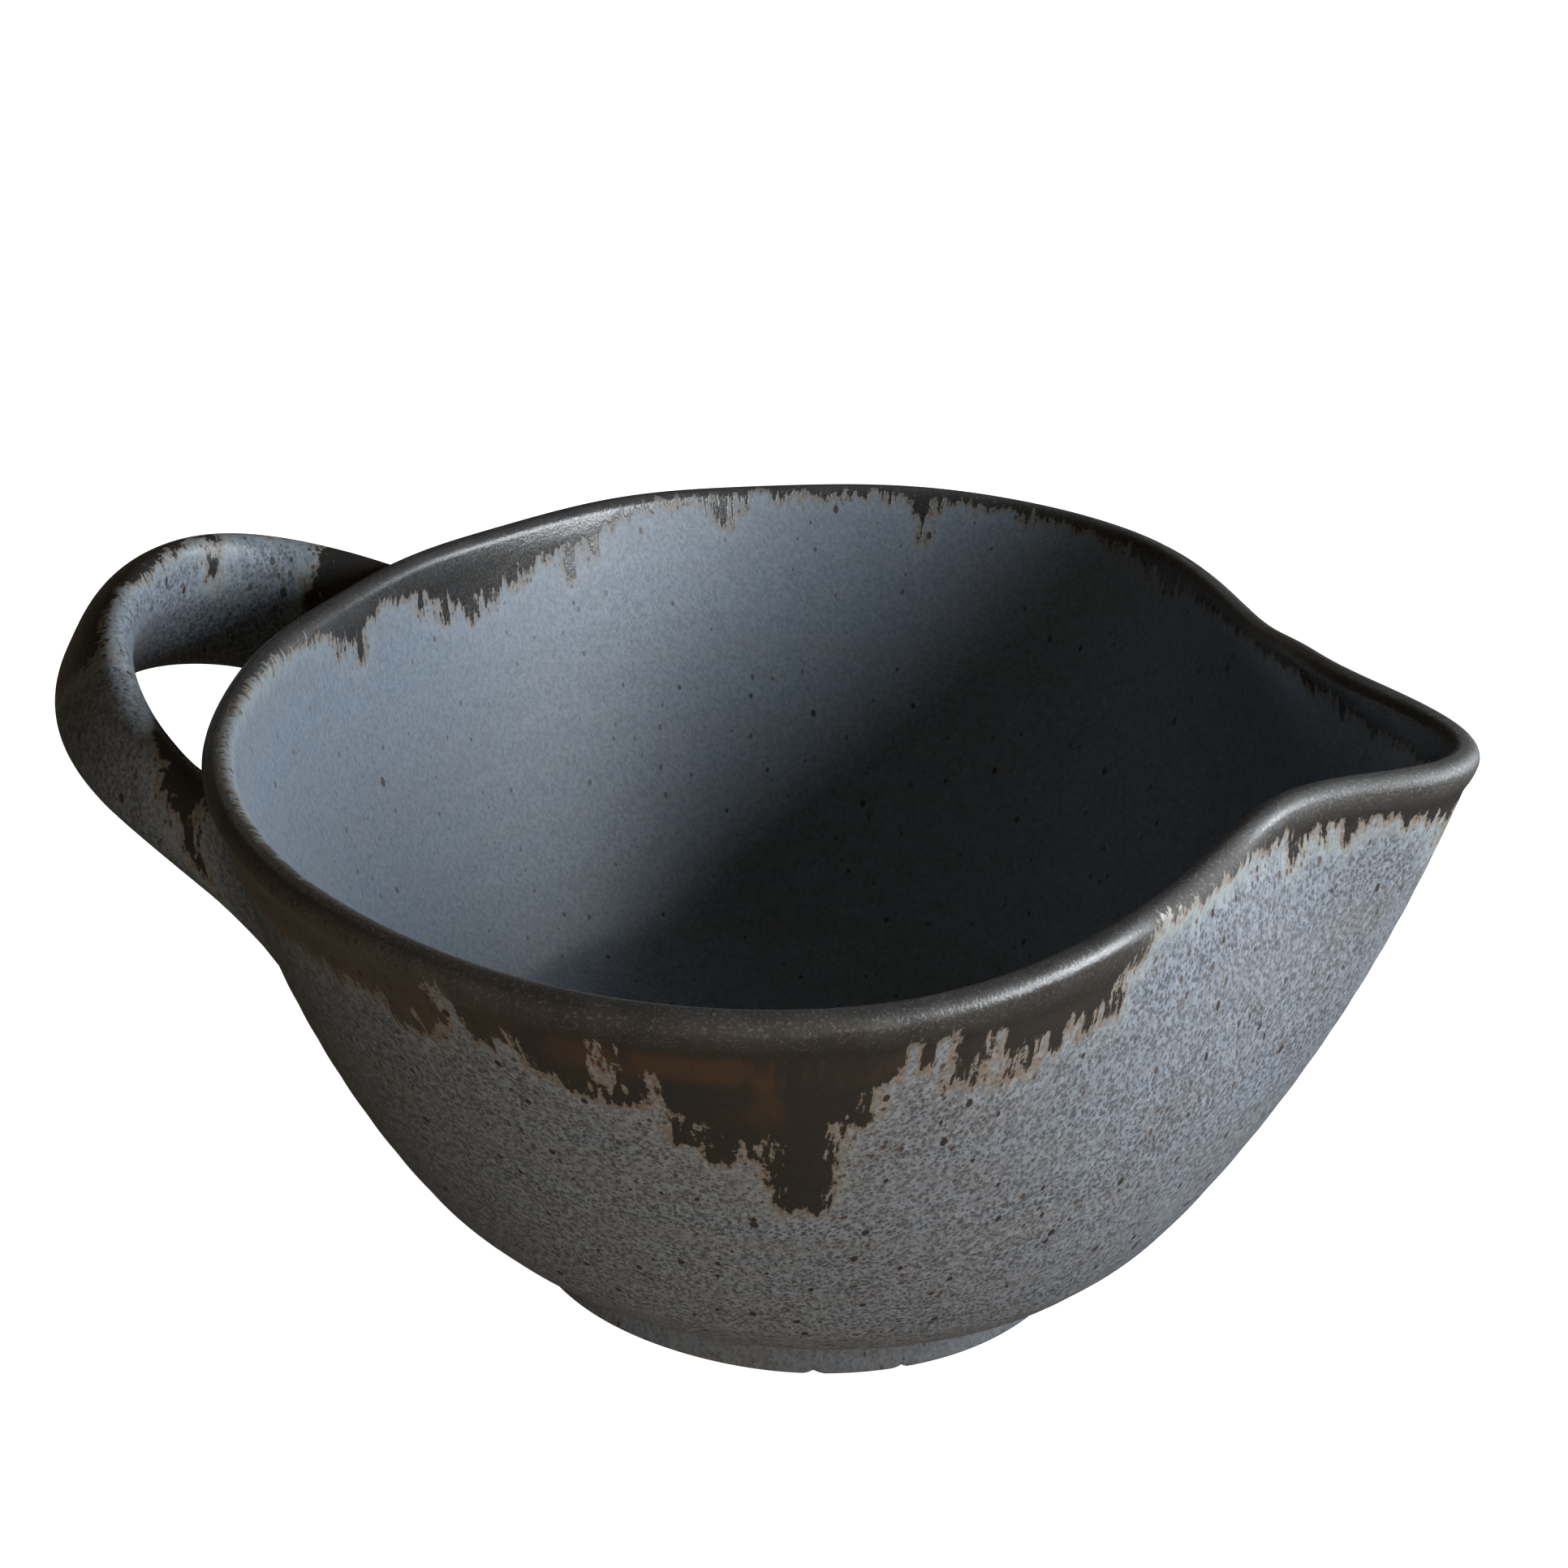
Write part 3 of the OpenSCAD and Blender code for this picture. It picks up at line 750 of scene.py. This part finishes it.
# ---------------- materials
class Nodes:
    """Short ways to add and join shader nodes."""

    def __init__(self, material):
        material.use_nodes = True
        self.tree = material.node_tree
        self.tree.nodes.clear()

    def add(self, kind, **values):
        node = self.tree.nodes.new(kind)
        for key, value in values.items():
            setattr(node, key, value)
        return node

    def put(self, socket, value):
        if isinstance(value, bpy.types.NodeSocket):
            self.tree.links.new(value, socket)
        elif isinstance(value, tuple) and len(value) == 3 and socket.type == "RGBA":
            socket.default_value = (*value, 1.0)
        else:
            socket.default_value = value

    def put_all(self, node, **values):
        """Puts values into sockets by name, with _ for a space."""
        for key, value in values.items():
            self.put(node.inputs[key.replace("_", " ")], value)

    def math(self, operation, a, b=None, c=None, clamp=False):
        node = self.add("ShaderNodeMath", operation=operation, use_clamp=clamp)
        for socket, value in zip(node.inputs, (a, b, c)):
            if value is not None:
                self.put(socket, value)
        return node.outputs[0]

    def times(self, a, b, clamp=False):
        return self.math("MULTIPLY", a, b, clamp=clamp)

    def line(self, value, slope, start, clamp=False):
        """value * slope + start"""
        return self.math("MULTIPLY_ADD", value, slope, start, clamp=clamp)

    def sway(self, noise, amount, value):
        """A value pushed up and down by a noise that lies round 0.5."""
        return self.line(self.math("SUBTRACT", noise, 0.5), amount, value)

    def ramp(self, value, low, high, to_low=0.0, to_high=1.0):
        node = self.add("ShaderNodeMapRange", interpolation_type="SMOOTHSTEP")
        self.put_all(node, Value=value, From_Min=low, From_Max=high, To_Min=to_low, To_Max=to_high)
        return node.outputs[0]

    def mix(self, factor, a, b):
        node = self.add("ShaderNodeMix", data_type="RGBA", blend_type="MIX")
        for socket, value in zip((node.inputs[0], node.inputs[6], node.inputs[7]), (factor, a, b)):
            self.put(socket, value)
        return node.outputs[2]

    def between(self, factor, a, b):
        node = self.add("ShaderNodeMix", data_type="FLOAT")
        for socket, value in zip((node.inputs[0], node.inputs[2], node.inputs[3]), (factor, a, b)):
            self.put(socket, value)
        return node.outputs[0]

    def field(self, name, vector=False):
        node = self.add("ShaderNodeAttribute", attribute_name=name)
        return node.outputs["Vector" if vector else "Fac"]

    def noise(self, where, scale, detail=2.0, rough=0.5):
        node = self.add("ShaderNodeTexNoise", noise_dimensions="3D")
        self.put_all(node, Vector=where, Scale=scale, Detail=detail, Roughness=rough)
        return node.outputs[0]

    def cells(self, where, scale):
        node = self.add("ShaderNodeTexVoronoi", feature="F1")
        self.put_all(node, Vector=where, Scale=scale)
        return node

    def stretched(self, where, scale):
        node = self.add("ShaderNodeVectorMath", operation="MULTIPLY")
        self.put(node.inputs[0], where)
        self.put(node.inputs[1], scale)
        return node.outputs[0]


BLUE_GREY, GREY, COOL_LIGHT = (0.182, 0.218, 0.262), (0.170, 0.183, 0.204), (0.255, 0.296, 0.345)
INSIDE_BLUE, WARM_CLOUD, BAND_GREY = (0.162, 0.198, 0.240), (0.208, 0.208, 0.216), (0.184, 0.176, 0.168)
FLECK, IRON, TINY_IRON = (0.048, 0.049, 0.054), (0.034, 0.022, 0.017), (0.070, 0.045, 0.034)
SKIRT_TAN, TAN, CREAM = (0.210, 0.176, 0.142), (0.185, 0.142, 0.102), (0.29, 0.33, 0.335)
TIP_BROWN, CLAY, DARK_CLAY = (0.048, 0.030, 0.022), (0.30, 0.205, 0.135), (0.17, 0.11, 0.075)
# the dark glaze is part metal in the shader, so these are also what it mirrors
DARK, DARK_WARM, RUST = (0.048, 0.047, 0.046), (0.056, 0.049, 0.043), (0.070, 0.046, 0.031)
# along the lip the dark glaze turns a lighter grey, partly wear and partly painted sheen, and carries light
# grains that are painted glints
WORN_AND_SHEEN, PAINTED_GLINT = (0.084, 0.081, 0.077), (0.22, 0.22, 0.215)
METAL, RUST_METAL, CREST_METAL = 0.46, 0.26, 0.55
GLAZE_IOR, CLAY_ROUGH, RELIEF_DISTANCE, RELIEF_STRENGTH = 1.52, 0.85, 0.001, 0.55
# the mesh fields: dark is mm into the dark glaze and crest mm below the lip's crest; the others are 0 to 1
# and say what is inside, bare clay, rusty, pale and dry, thinly covered, and just above the foot
FIELDS = ("dark", "inner", "clay", "rust", "pale", "thin", "crest", "skirt")


def glaze_inputs(g):
    """The coordinates, the mesh's fields and the patterns that several parts of the glaze share."""
    f = SimpleNamespace(**{key: g.field(key) for key in FIELDS})
    place = g.add("ShaderNodeTexCoord").outputs["Object"]
    f.mm = g.stretched(place, (1000.0, 1000.0, 1000.0))
    f.flow = g.field("flow", vector=True)
    f.flecks_at = g.stretched(f.mm, (1.0, 1.0, 0.78))
    f.long_runs = g.noise(f.flow, 0.40, 2.0, 0.5)
    f.fine_runs = g.noise(f.flow, 0.95, 3.0, 0.6)
    f.smear = g.noise(f.flow, 0.15, 3.0, 0.6)
    f.soft = g.noise(f.mm, 0.045, 3.0, 0.55)
    f.cloud = g.noise(f.mm, 0.17, 3.0, 0.6)
    f.grain = g.noise(f.mm, 1.3, 2.0, 0.6)
    f.spark = g.noise(f.mm, 2.0, 2.0, 0.6)
    f.mottle = g.noise(f.flecks_at, 1.15, 3.0, 0.62)
    f.fine = g.noise(f.flecks_at, 2.3, 2.0, 0.6)
    return f


def speckle(g, where, scale, size, share):
    """Round specks: some of the cells of a pattern hold one."""
    cell = g.cells(where, scale)
    pick = g.add("ShaderNodeSeparateColor")
    g.put(pick.inputs[0], cell.outputs["Color"])
    chosen = g.math("LESS_THAN", pick.outputs[0], share)
    own = g.line(pick.outputs[1], size * 0.8, size * 0.35)
    near = g.math("SUBTRACT", own, cell.outputs["Distance"])
    return g.times(chosen, g.ramp(near, -0.07 * scale, 0.07 * scale))


def ragged_edge(g, f):
    """The distance into the dark glaze, made ragged by long runs, then finer fingers, then grain."""
    ragged = g.sway(f.long_runs, 6.0, f.dark)
    ragged = g.sway(f.fine_runs, 7.0, ragged)
    return g.sway(f.grain, 2.2, ragged)


def blue_coat(g, f, speckled):
    """The blue-grey coat: soft patches, clouds, mottling, pepper, bands from the wheel and the tan skirt."""
    coat = g.mix(g.ramp(f.soft, 0.36, 0.66), BLUE_GREY, GREY)
    coat = g.mix(f.inner, coat, INSIDE_BLUE)
    coat = g.mix(g.times(g.ramp(f.cloud, 0.35, 0.7), 0.26), coat, WARM_CLOUD)
    strength = g.line(f.inner, -0.66 * speckled, speckled)
    pepper = speckle(g, f.flecks_at, scale=1.75, size=0.60, share=0.80)
    for pattern, amount, colour in (
        (g.ramp(f.mottle, 0.44, 0.58), 0.90, COOL_LIGHT),
        (g.ramp(f.mottle, 0.48, 0.30), 0.42, FLECK),
        (g.ramp(f.fine, 0.50, 0.60), 0.44, FLECK),
        (pepper, 0.74, FLECK),
    ):
        coat = g.mix(g.times(pattern, g.times(strength, amount)), coat, colour)
    bands = g.noise(g.stretched(f.mm, (0.02, 0.02, 1.0)), 0.24, 2.0, 0.5)
    coat = g.mix(g.times(g.ramp(bands, 0.35, 0.65), 0.18), coat, BAND_GREY)
    return g.mix(g.times(f.skirt, g.ramp(f.fine, 0.3, 0.7, 0.80, 0.50)), coat, SKIRT_TAN)


def fringe(g, f, coat, ragged):
    """Beside the edge of the dark glaze: a pale bloom, then a tan fringe with dark tips."""
    bloom = g.times(g.ramp(ragged, -5.5, -1.2), g.line(f.pale, 0.75, 0.22), clamp=True)
    tan = g.times(g.ramp(ragged, -2.1, -0.3), g.ramp(f.grain, 0.30, 0.62, 0.35, 0.95))
    tips = g.cells(g.stretched(f.mm, (1.0, 1.0, 0.8)), 0.85).outputs["Distance"]
    tip_zone = g.times(g.ramp(ragged, -2.4, -0.9), g.ramp(f.fine_runs, 0.44, 0.56))
    tip = g.times(g.ramp(tips, 0.36, 0.22), tip_zone)
    coat = g.mix(bloom, coat, CREAM)
    coat = g.mix(tan, coat, TAN)
    return g.mix(g.times(tip, 0.85), coat, TIP_BROWN)


def iron_specks(g, f, coat):
    """Tiny and larger iron specks, drawn out downwards, with fewer of them inside."""
    drawn = g.stretched(f.mm, (1.0, 1.0, 0.55))
    fewer = g.line(f.inner, -0.75, 1.0)
    for scale, size, share, amount, colour in (
        (0.56, 0.21, 0.70, 0.85, TINY_IRON),
        (0.32, 0.17, 0.55, 0.94, IRON),
    ):
        specks = speckle(g, drawn, scale, size, g.times(fewer, share))
        coat = g.mix(g.times(specks, amount), coat, colour)
    return coat


def lip_zones(g, f):
    """Where the lip is, where it is dry, and its crest; and the rust of the dark glaze."""
    lip_share = g.ramp(f.crest, 8.0, 3.0)
    return SimpleNamespace(
        lip=lip_share, dry=g.times(f.pale, lip_share, clamp=True), crest=g.ramp(f.crest, 3.4, 1.4),
        rusty=g.times(f.rust, g.ramp(f.smear, 0.38, 0.56), clamp=True))


def dark_coat(g, f, zones):
    """The dark glaze: brown where thick, rusty in places, and lighter along the lip, partly from wear and
    partly as painted sheen, with light grains painted as glints.
    """
    deep = g.mix(g.ramp(g.noise(f.mm, 0.28, 3.0, 0.6), 0.35, 0.68), DARK, DARK_WARM)
    deep = g.mix(zones.rusty, deep, RUST)
    worn_and_sheen = g.times(zones.lip, g.ramp(f.cloud, 0.35, 0.62, 0.25, 0.75))
    # lighter along the lip: partly wear, partly painted sheen; the same colour is also what the metal mirrors
    # there
    deep = g.mix(g.times(worn_and_sheen, g.line(zones.dry, -0.75, 1.0)), deep, WORN_AND_SHEEN)
    # painted glints: light grains mixed into the colour, mostly on the lip
    painted_glints = g.times(g.ramp(f.spark, 0.56, 0.66), g.line(zones.lip, 0.34, 0.06))
    return g.mix(painted_glints, deep, PAINTED_GLINT)


def metal_share(g, zones, is_dark, film):
    """The dark glaze mirrors like metal, less where it is rusty, dry or on the crest."""
    metal = g.times(is_dark, g.times(film, g.line(zones.rusty, -RUST_METAL, METAL)))
    glossy_lip = g.math("SUBTRACT", 1.0, zones.dry)
    return g.times(metal, g.times(glossy_lip, g.line(zones.crest, -CREST_METAL, 1.0)))


def roughness(g, f, zones, is_dark, is_clay):
    """Satin on the coat, glossier on the dark, dry on the clay."""
    dark_rough = g.ramp(g.noise(f.mm, 1.9, 3.0, 0.7), 0.3, 0.7, 0.20, 0.34)
    dark_rough = g.line(zones.dry, 0.50, dark_rough)
    dark_rough = g.line(zones.crest, 0.12, dark_rough, clamp=True)
    rough = g.between(is_dark, g.ramp(f.mottle, 0.3, 0.7, 0.52, 0.42), dark_rough)
    return g.between(is_clay, rough, CLAY_ROUGH)


def relief(g, f, zones, is_dark):
    """Pits and grain, and the dark glaze standing a little up."""
    pits = g.noise(f.mm, 0.9, 4.0, 0.65)
    height = g.line(is_dark, 0.10, g.times(pits, 0.09))
    height = g.line(f.fine, 0.03, height)
    height = g.line(g.times(f.spark, zones.lip), 0.12, height)
    bump = g.add("ShaderNodeBump")
    g.put_all(bump, Distance=RELIEF_DISTANCE, Strength=RELIEF_STRENGTH, Height=height)
    return bump.outputs[0]


def glaze_material(name, painted_shade_tone=1.0, speckled=1.0):
    """The whole glaze: painted_shade_tone darkens all of it, as painted shade, and speckled is the strength
    of the coat's mottling.
    """
    material = bpy.data.materials.new(name)
    g = Nodes(material)
    f = glaze_inputs(g)
    zones = lip_zones(g, f)
    ragged = ragged_edge(g, f)
    is_dark = g.ramp(ragged, -0.3, 0.45)
    film = g.line(f.thin, -0.40, 1.0)
    clay_noise = g.noise(f.mm, 1.6, 3.0, 0.65)
    is_clay = g.ramp(g.sway(clay_noise, 0.5, f.clay), 0.4, 0.62)

    coat = iron_specks(g, f, fringe(g, f, blue_coat(g, f, speckled), ragged))
    colour = g.mix(g.times(is_dark, film), coat, dark_coat(g, f, zones))
    colour = g.mix(is_clay, colour, g.mix(g.ramp(clay_noise, 0.35, 0.7), CLAY, DARK_CLAY))
    # painted shade: the whole colour darkened towards black
    colour = g.mix(1.0 - painted_shade_tone, colour, (0.0, 0.0, 0.0))
    metal = metal_share(g, zones, is_dark, film)

    shader = g.add("ShaderNodeBsdfPrincipled")
    g.put_all(
        shader, Base_Color=colour, Roughness=roughness(g, f, zones, is_dark, is_clay),
        Metallic=g.times(metal, g.math("SUBTRACT", 1.0, is_clay)), Normal=relief(g, f, zones, is_dark))
    shader.inputs["IOR"].default_value = GLAZE_IOR
    out = g.add("ShaderNodeOutputMaterial")
    g.put(out.inputs["Surface"], shader.outputs[0])
    return material


satin = glaze_material("satin_glaze")
# the foot's copy of the glaze is darkened to 0.70 as painted shade, where the foot sits under the bowl's
# belly
foot_glaze = glaze_material("foot_glaze", painted_shade_tone=0.70, speckled=0.5)

bowl = thrown_bowl()
foot = turned_foot()
handle = pulled_handle(bowl)
for piece, material, slot, nodes in (
    (bowl, satin, "satin_glaze", ("bowl_wall",)),
    (foot, foot_glaze, "foot_glaze", ("foot_ring",)),
    (handle, satin, "satin_glaze", ("handle_strap", "handle_left_root", "handle_right_root")),
):
    piece.data.materials.append(material)
    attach(piece, "root")
    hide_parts(*nodes)

# ---------------- floor, backdrop, lights; sizes in metres
STAGE_COLOUR, STAGE_GLOW, STAGE_ROUGH, STAGE_SHINE = (0.86, 0.86, 0.86), 1.18, 0.9, 0.1
STAGE_SIDES, FLOOR_R, FLOOR_Z = 96, 14.0, -0.0001
BACKDROP_R, BACKDROP_LOW, BACKDROP_HIGH = 13.9, -0.1, 20.0


def plain_material(name):
    """A pale, even surface that glows, so that the lamps leave no edges on it."""
    material = bpy.data.materials.new(name)
    g = Nodes(material)
    place = g.add("ShaderNodeTexCoord").outputs["Object"]
    patches = g.ramp(g.noise(place, 6.0, 3.0, 0.5), 0.3, 0.7)
    shader = g.add("ShaderNodeBsdfPrincipled")
    g.put(shader.inputs["Base Color"], g.mix(patches, STAGE_COLOUR, tuple(c * 0.985 for c in STAGE_COLOUR)))
    shader.inputs["Roughness"].default_value = STAGE_ROUGH
    shader.inputs["Specular IOR Level"].default_value = STAGE_SHINE
    shader.inputs["Emission Color"].default_value = (*STAGE_COLOUR, 1)
    shader.inputs["Emission Strength"].default_value = STAGE_GLOW
    out = g.add("ShaderNodeOutputMaterial")
    g.put(out.inputs["Surface"], shader.outputs[0])
    return material


def circle(radius, z):
    turns = [2 * math.pi * i / STAGE_SIDES for i in range(STAGE_SIDES)]
    return [(radius * math.cos(turn), radius * math.sin(turn), z) for turn in turns]


def stage_piece(name, points, faces, material):
    """A piece of the room, which lights the bowl neither directly nor in its gloss."""
    obj = new_object(name, points, faces)
    obj.data.materials.append(plain_material(material))
    obj.visible_diffuse = False
    obj.visible_glossy = False
    return obj


def backdrop():
    """A tall pale wall all round, far off, with a lid: it only closes the view above the floor."""
    n = STAGE_SIDES
    faces = [(i, n + i, n + (i + 1) % n, (i + 1) % n) for i in range(n)]
    faces.append(tuple(range(n, 2 * n)))
    points = circle(BACKDROP_R, BACKDROP_LOW) + circle(BACKDROP_R, BACKDROP_HIGH)
    wall = stage_piece("backdrop", points, faces, "pale_backdrop")
    wall.visible_shadow = False


stage_piece("floor", circle(FLOOR_R, FLOOR_Z), [tuple(range(STAGE_SIDES))], "pale_floor")
backdrop()

ROOM_COLOUR, ROOM_LIGHT = (1.0, 0.82, 0.55, 1), 0.045
world = bpy.data.worlds.new("studio")
bpy.context.scene.world = world
world.use_nodes = True
background = world.node_tree.nodes["Background"]
background.inputs[0].default_value = ROOM_COLOUR
background.inputs[1].default_value = ROOM_LIGHT


def panel(name, turn, rise, away, size, watts, colour, aim=0.06, glossy=True):
    """A soft rectangular light that faces a point `aim` above the floor's middle, from `away` metres off."""
    light = bpy.data.lights.new(name, "AREA")
    light.shape = "RECTANGLE"
    light.size, light.size_y = size
    light.energy, light.color = watts, colour
    obj = bpy.data.objects.new(name, light)
    bpy.context.scene.collection.objects.link(obj)
    turn, rise = math.radians(turn), math.radians(rise)
    out = Vector((math.cos(turn) * math.cos(rise), math.sin(turn) * math.cos(rise), math.sin(rise)))
    obj.location = Vector((0, 0, aim)) + out * away
    obj.rotation_mode = "QUATERNION"
    obj.rotation_quaternion = out.to_track_quat("Z", "Y")
    obj.visible_camera = False
    obj.visible_glossy = glossy


panel("window", 13.5, 23, 0.48, (0.44, 0.22), 4.4, (0.86, 0.93, 1.0))
panel("low_fill", -57, 0, 0.60, (0.36, 0.05), 2.0, (1.0, 0.87, 0.74), aim=0.04, glossy=False)
panel("lip_gleam", -32, 10, 0.90, (0.14, 0.16), 0.45, (0.86, 0.94, 1.0))
panel("back_fill", 135, 3, 0.75, (0.50, 0.10), 1.5, (0.95, 0.97, 1.0), glossy=False)

# ---------------- camera
# where it stands, in degrees and metres, and how it is turned away from the origin
AZIMUTH, ELEVATION, DISTANCE = 14.305, 32.991, 0.498263
YAW, PITCH, ROLL = -0.888, -8.66, -3.808
# the lens and the sensor's width, in mm
LENS, SENSOR = 63.354037, 36.0


def add_camera():
    turn, rise = math.radians(AZIMUTH), math.radians(ELEVATION)
    back = Vector((math.sin(turn) * math.cos(rise), -math.cos(turn) * math.cos(rise), math.sin(rise)))
    right = Vector((math.cos(turn), math.sin(turn), 0))
    turned = (
        Matrix((right, back.cross(right), back)).transposed()
        @ Matrix.Rotation(math.radians(-YAW), 3, "Y")
        @ Matrix.Rotation(math.radians(-PITCH), 3, "X")
        @ Matrix.Rotation(math.radians(-ROLL), 3, "Z")
    )
    data = bpy.data.cameras.new("camera")
    data.sensor_width = SENSOR
    data.lens = LENS
    camera = bpy.data.objects.new("camera", data)
    camera.matrix_world = Matrix.Translation(back * DISTANCE) @ turned.to_4x4()
    bpy.context.scene.collection.objects.link(camera)
    return camera


bpy.context.scene.camera = add_camera()
bpy.context.scene.view_settings.view_transform = "Standard"
